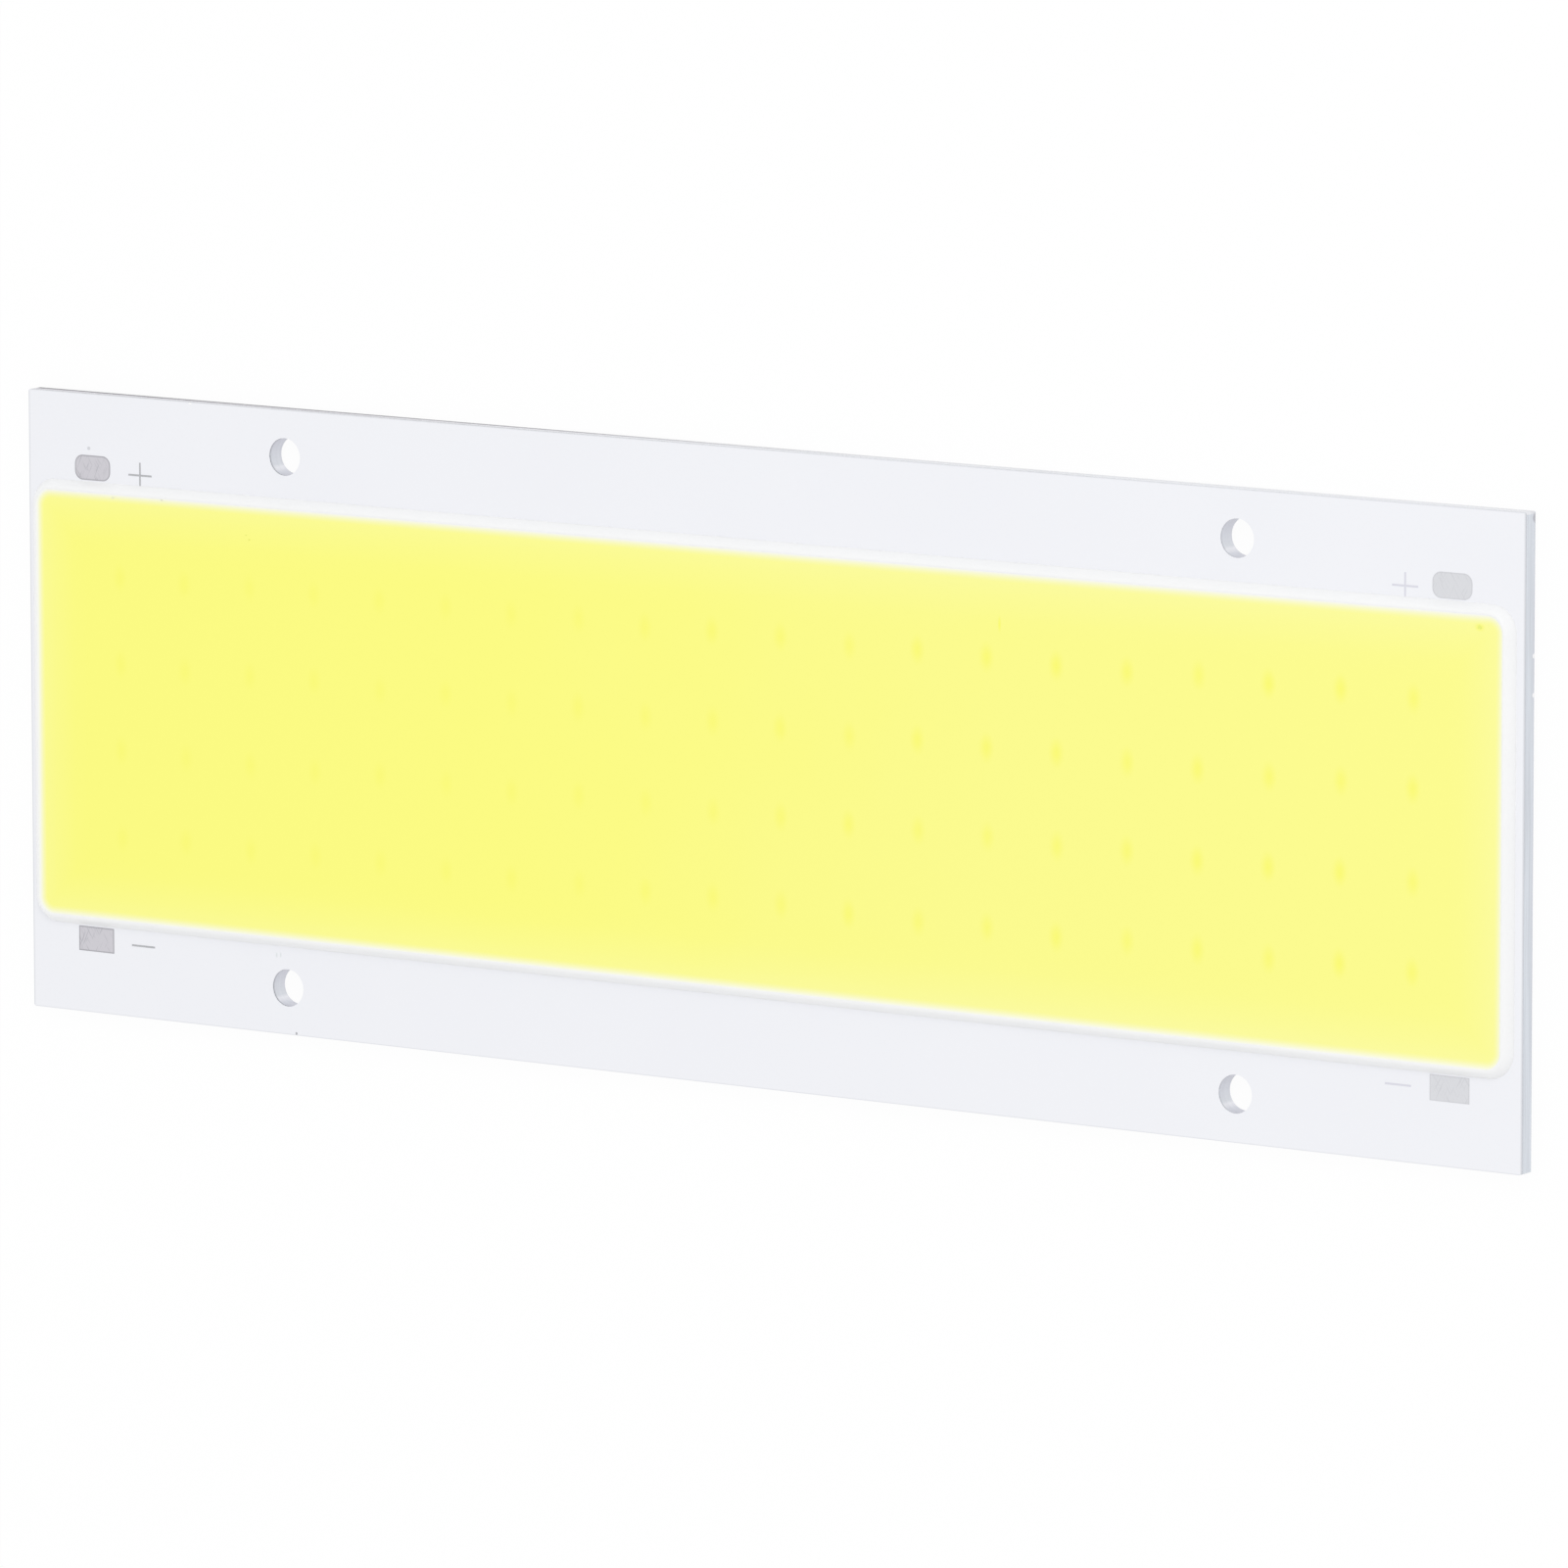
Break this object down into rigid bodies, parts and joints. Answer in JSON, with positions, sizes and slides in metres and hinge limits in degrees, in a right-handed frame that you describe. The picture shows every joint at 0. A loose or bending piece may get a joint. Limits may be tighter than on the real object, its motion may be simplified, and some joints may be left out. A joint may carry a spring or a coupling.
{
  "type": "cob led",
  "caption": "Flat chip-on-board LED light panel: long aluminium-cored board with a white dam round a yellow phosphor field, screw holes and solder pads.",
  "frame": {"origin": "centre of the heat-sink face, which is the bottom of the bounding box", "axes": "+Z out of the lit face, +X along the board towards its right end, +Y across it towards the two positive pads"},
  "size_m": [0.14, 0.05, 0.0024],
  "materials": {
    "bare_aluminium": "rolled and punched, satin",
    "insulation": "ceramic-filled epoxy, matte",
    "white_mask": "white solder mask, satin",
    "copper": "etched copper foil",
    "tin": "levelled tin, with probe scratches",
    "chip_adhesive": "white chip adhesive",
    "led_chip": "sapphire with a gallium nitride face",
    "gold_wire": "drawn gold",
    "white_silicone": "white silicone, satin",
    "phosphor_silicone": "yellow phosphor in silicone, satin"
  },
  "bodies": {
    "root": {"base_plate": "bare_aluminium", "insulation_layer": "insulation", "solder_mask": "white_mask", "positive_bus": "copper", "negative_bus": "copper", "link_track_1": "copper", "link_track_2": "copper", "link_track_3": "copper", "positive_pad_left": "tin", "positive_pad_right": "tin", "negative_pad_left": "tin", "negative_pad_right": "tin", "chip_adhesive_row_1": "chip_adhesive", "chip_adhesive_row_2": "chip_adhesive", "chip_adhesive_row_3": "chip_adhesive", "chip_adhesive_row_4": "chip_adhesive", "led_chips_row_1": "led_chip", "led_chips_row_2": "led_chip", "led_chips_row_3": "led_chip", "led_chips_row_4": "led_chip", "bond_wires_row_1": "gold_wire", "bond_wires_row_2": "gold_wire", "bond_wires_row_3": "gold_wire", "bond_wires_row_4": "gold_wire", "dam": "white_silicone", "phosphor_fill": "phosphor_silicone"}
  },
  "joints": []
}
